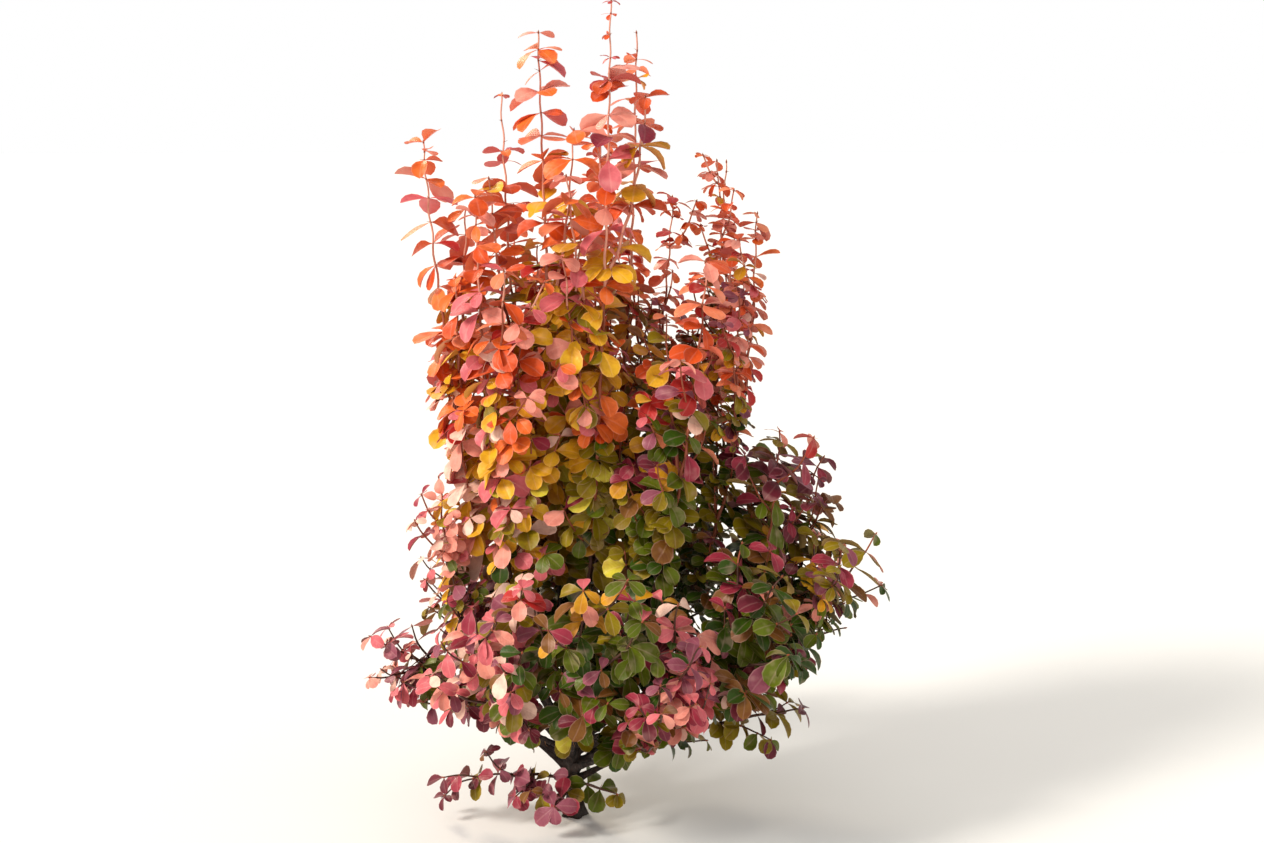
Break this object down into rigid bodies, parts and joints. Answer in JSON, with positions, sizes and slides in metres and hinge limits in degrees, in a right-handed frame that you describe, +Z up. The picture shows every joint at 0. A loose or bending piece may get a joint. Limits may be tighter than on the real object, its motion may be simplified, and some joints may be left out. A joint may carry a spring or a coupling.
{
  "type": "japanese barberry shrub",
  "caption": "Young columnar shrub with upright and spreading leafy shoots on one short trunk, rooted at a flat cut at ground level.",
  "frame": {"origin": "middle of the flat cut under the trunk, at ground level", "axes": "+Z up along the plant's height, +X to the plant's right seen from the front, +Y to its back"},
  "size_m": [0.478, 0.4416, 0.757],
  "materials": {
    "bark": "rough dark brown bark",
    "upright_leaves": "thin coral, orange and pink leaves, slightly glossy",
    "spray_leaves": "thin purple, crimson and green leaves, slightly glossy"
  },
  "bodies": {
    "root": {"trunk": "bark", "bough_upright_far_left": "bark", "foliage_upright_far_left": "upright_leaves", "bough_upright_left": "bark", "foliage_upright_left": "upright_leaves", "bough_upright_left_inner": "bark", "foliage_upright_left_inner": "upright_leaves", "bough_upright_tall_left": "bark", "foliage_upright_tall_left": "upright_leaves", "bough_upright_front": "bark", "foliage_upright_front": "upright_leaves", "bough_upright_tall_right": "bark", "foliage_upright_tall_right": "upright_leaves", "bough_upright_right_inner": "bark", "foliage_upright_right_inner": "upright_leaves", "bough_upright_right": "bark", "foliage_upright_right": "upright_leaves", "bough_upright_far_right": "bark", "foliage_upright_far_right": "upright_leaves", "bough_upright_front_right": "bark", "foliage_upright_front_right": "upright_leaves", "bough_upright_low_right": "bark", "foliage_upright_low_right": "upright_leaves", "bough_upright_low_left": "bark", "foliage_upright_low_left": "upright_leaves", "bough_upright_back_left": "bark", "foliage_upright_back_left": "upright_leaves", "bough_upright_back": "bark", "foliage_upright_back": "upright_leaves", "bough_spray_left_low": "bark", "foliage_spray_left_low": "spray_leaves", "bough_spray_front_left": "bark", "foliage_spray_front_left": "spray_leaves", "bough_spray_front": "bark", "foliage_spray_front": "spray_leaves", "bough_spray_front_right": "bark", "foliage_spray_front_right": "spray_leaves", "bough_spray_right_high": "bark", "foliage_spray_right_high": "spray_leaves", "bough_spray_right": "bark", "foliage_spray_right": "spray_leaves", "bough_spray_right_low": "bark", "foliage_spray_right_low": "spray_leaves", "bough_spray_right_front": "bark", "foliage_spray_right_front": "spray_leaves", "bough_spray_back_right": "bark", "foliage_spray_back_right": "spray_leaves", "bough_spray_back": "bark", "foliage_spray_back": "spray_leaves", "bough_spray_back_left": "bark", "foliage_spray_back_left": "spray_leaves", "bough_drooping_right": "bark", "foliage_drooping_right": "spray_leaves", "foliage_foot_left": "spray_leaves", "foliage_foot_front": "spray_leaves", "foliage_foot_right": "spray_leaves"}
  },
  "joints": []
}
